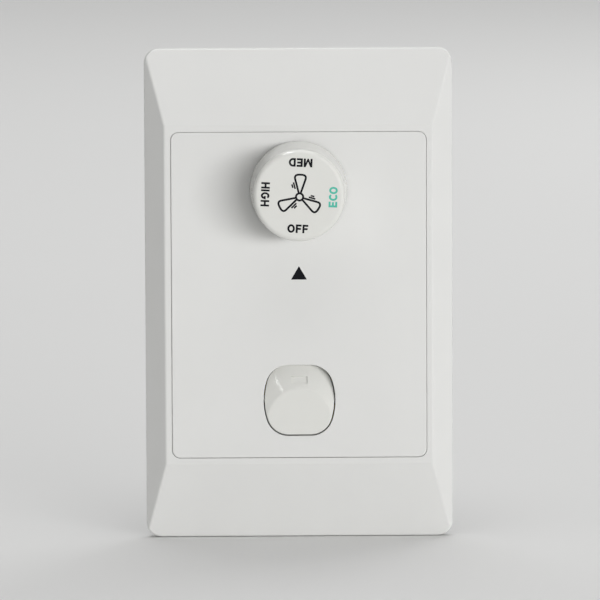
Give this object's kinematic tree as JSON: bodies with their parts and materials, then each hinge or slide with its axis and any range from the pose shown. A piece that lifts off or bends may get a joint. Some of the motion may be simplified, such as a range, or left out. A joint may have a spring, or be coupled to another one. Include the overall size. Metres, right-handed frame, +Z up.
{
  "type": "fan speed control switch",
  "caption": "Vertical wall plate with a turning fan speed knob above a rocker light switch, with the speed controller and the switch mechanism behind it.",
  "frame": {"origin": "on the wall plane, midway between the two mounting holes", "axes": "front faces -Y, +X to the right seen from the front, +Z up"},
  "size_m": [0.0724, 0.0512, 0.116],
  "materials": {
    "surround_white": "satin",
    "panel_white": "satin",
    "knob_white": "glossy",
    "rocker_white": "glossy",
    "steel": "zinc plated",
    "spring_steel": "drawn",
    "nickel_brass": "nickel plated",
    "contact_brass": "stamped",
    "black_moulding": "moulded",
    "rotor_acetal": "moulded",
    "board_green": "solder mask",
    "capacitor_grey": "moulded",
    "resistor_body": "lacquered",
    "terminal_green": "moulded",
    "case_grey": "moulded",
    "mech_white": "moulded",
    "mech_grey": "moulded",
    "legend_ink": "pad printed",
    "eco_ink": "pad printed"
  },
  "bodies": {
    "base": {"cover_plate": "surround_white", "grid_plate": "panel_white", "selector_bush": "nickel_brass", "bush_washer": "steel", "bush_nut": "nickel_brass", "selector_case": "black_moulding", "selector_contacts": "contact_brass", "detent_spring": "spring_steel", "circuit_board": "board_green", "capacitor_large": "capacitor_grey", "capacitor_small": "capacitor_grey", "bleed_resistors": "resistor_body", "terminal_block": "terminal_green", "terminal_clamps": "contact_brass", "terminal_screws": "steel", "rear_case": "case_grey", "case_screws": "steel", "mech_frame": "mech_white", "mech_body": "mech_grey", "common_terminal": "contact_brass", "upper_terminal": "contact_brass", "lower_terminal": "contact_brass", "mech_screws": "steel"},
    "selector": {"knob": "knob_white", "selector_spindle": "steel", "selector_rotor": "rotor_acetal", "selector_wiper": "contact_brass"},
    "rocker_unit": {"rocker": "rocker_white", "plunger_spring": "spring_steel"},
    "plunger_unit": {"plunger": "rotor_acetal"},
    "see_saw": {"contact_bar": "contact_brass"}
  },
  "joints": [
    {"name": "knob_turn", "type": "hinge", "parent": "base", "child": "selector", "pos_m": [0, 0, 0.025], "axis": [0, 1, 0], "range_deg": [0, 270], "deforming": ["detent_spring"]},
    {"name": "rocker_pivot", "type": "hinge", "parent": "base", "child": "rocker_unit", "pos_m": [0, -0.0047, -0.025], "axis": [1, 0, 0], "range_deg": [0, 14]},
    {"name": "contact_pivot", "type": "hinge", "parent": "base", "child": "see_saw", "pos_m": [0, 0.0052, -0.025], "axis": [1, 0, 0], "range_deg": [-16, 0]},
    {"name": "plunger_slide", "type": "slide", "parent": "rocker_unit", "child": "plunger_unit", "axis": [0, -0.9925, 0.1219], "range_m": [0, 0.0004], "stiffness_N_per_m": 300, "springref_m": -0.001, "deforming": ["plunger_spring"]}
  ],
  "couplings": [
    {"joint": "contact_pivot", "follows": "rocker_pivot", "ratio": -1.1428}
  ]
}
